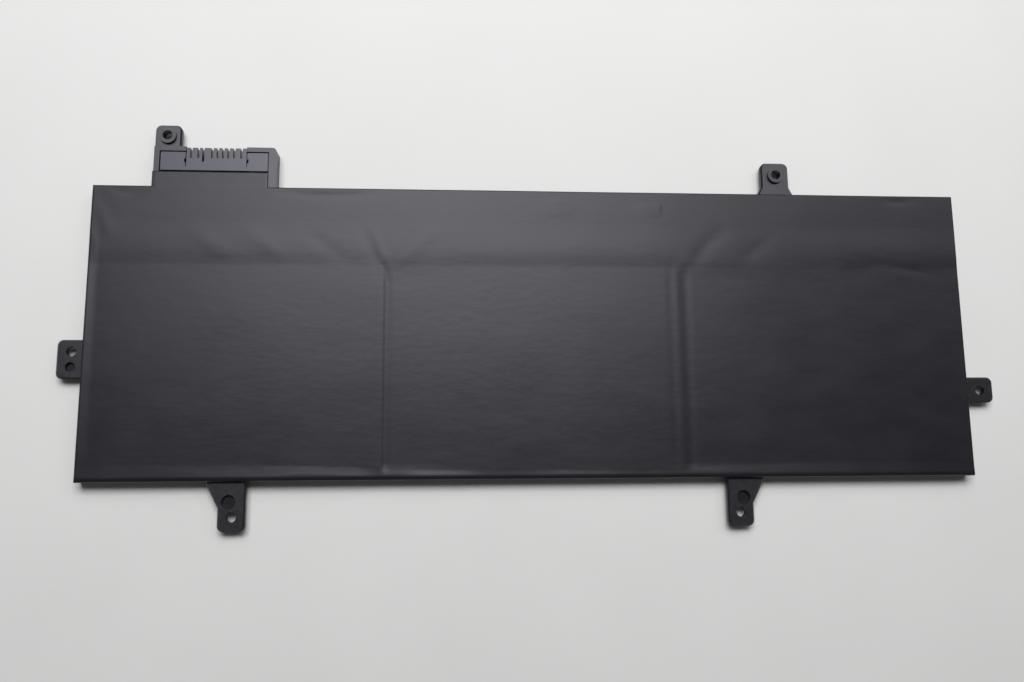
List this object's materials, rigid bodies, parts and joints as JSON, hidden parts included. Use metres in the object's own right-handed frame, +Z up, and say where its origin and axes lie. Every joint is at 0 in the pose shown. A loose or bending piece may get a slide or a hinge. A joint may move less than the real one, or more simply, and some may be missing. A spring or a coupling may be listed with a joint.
{
  "type": "laptop battery",
  "caption": "Thin flat internal laptop battery: pouch cells and a protection board under black film, in a moulded frame with screw tabs and a slotted connector bay.",
  "frame": {"origin": "middle of the pack's underside, without the screw tabs and the connector bay", "axes": "+X along the pack, +Y across it towards the circuit board and the connector bay, +Z up through its thickness"},
  "size_m": [0.2636, 0.1138, 0.0054],
  "materials": {
    "film": "black polyester film, satin",
    "frame_plastic": "black moulded plastic, fine grain",
    "connector_plastic": "dark grey moulded plastic, satin",
    "pouch": "matt laminated foil",
    "tape": "white adhesive sheet",
    "tab_metal": "nickel strip",
    "board": "green solder mask",
    "chip": "black moulded package",
    "fuse_ceramic": "white ceramic body",
    "capacitor_ceramic": "tan ceramic body",
    "contact_metal": "plated sprung contact"
  },
  "bodies": {
    "root": {"frame": "frame_plastic", "top_film": "film", "bottom_film": "film", "cell_left": "pouch", "cell_middle": "pouch", "cell_right": "pouch", "tape_left": "tape", "tape_middle": "tape", "tape_right": "tape", "tab_left_plus": "tab_metal", "tab_left_minus": "tab_metal", "tab_middle_plus": "tab_metal", "tab_middle_minus": "tab_metal", "tab_right_plus": "tab_metal", "tab_right_minus": "tab_metal", "circuit_board": "board", "charge_switch": "chip", "discharge_switch": "chip", "gauge_chip": "chip", "cutoff_fuse": "fuse_ceramic", "sense_resistor": "chip", "board_thermistor": "chip", "filter_capacitors": "capacitor_ceramic", "connector_housing": "connector_plastic", "contact_1": "contact_metal", "contact_2": "contact_metal", "contact_3": "contact_metal", "contact_4": "contact_metal", "contact_5": "contact_metal", "contact_6": "contact_metal", "contact_7": "contact_metal", "contact_8": "contact_metal"}
  },
  "joints": []
}
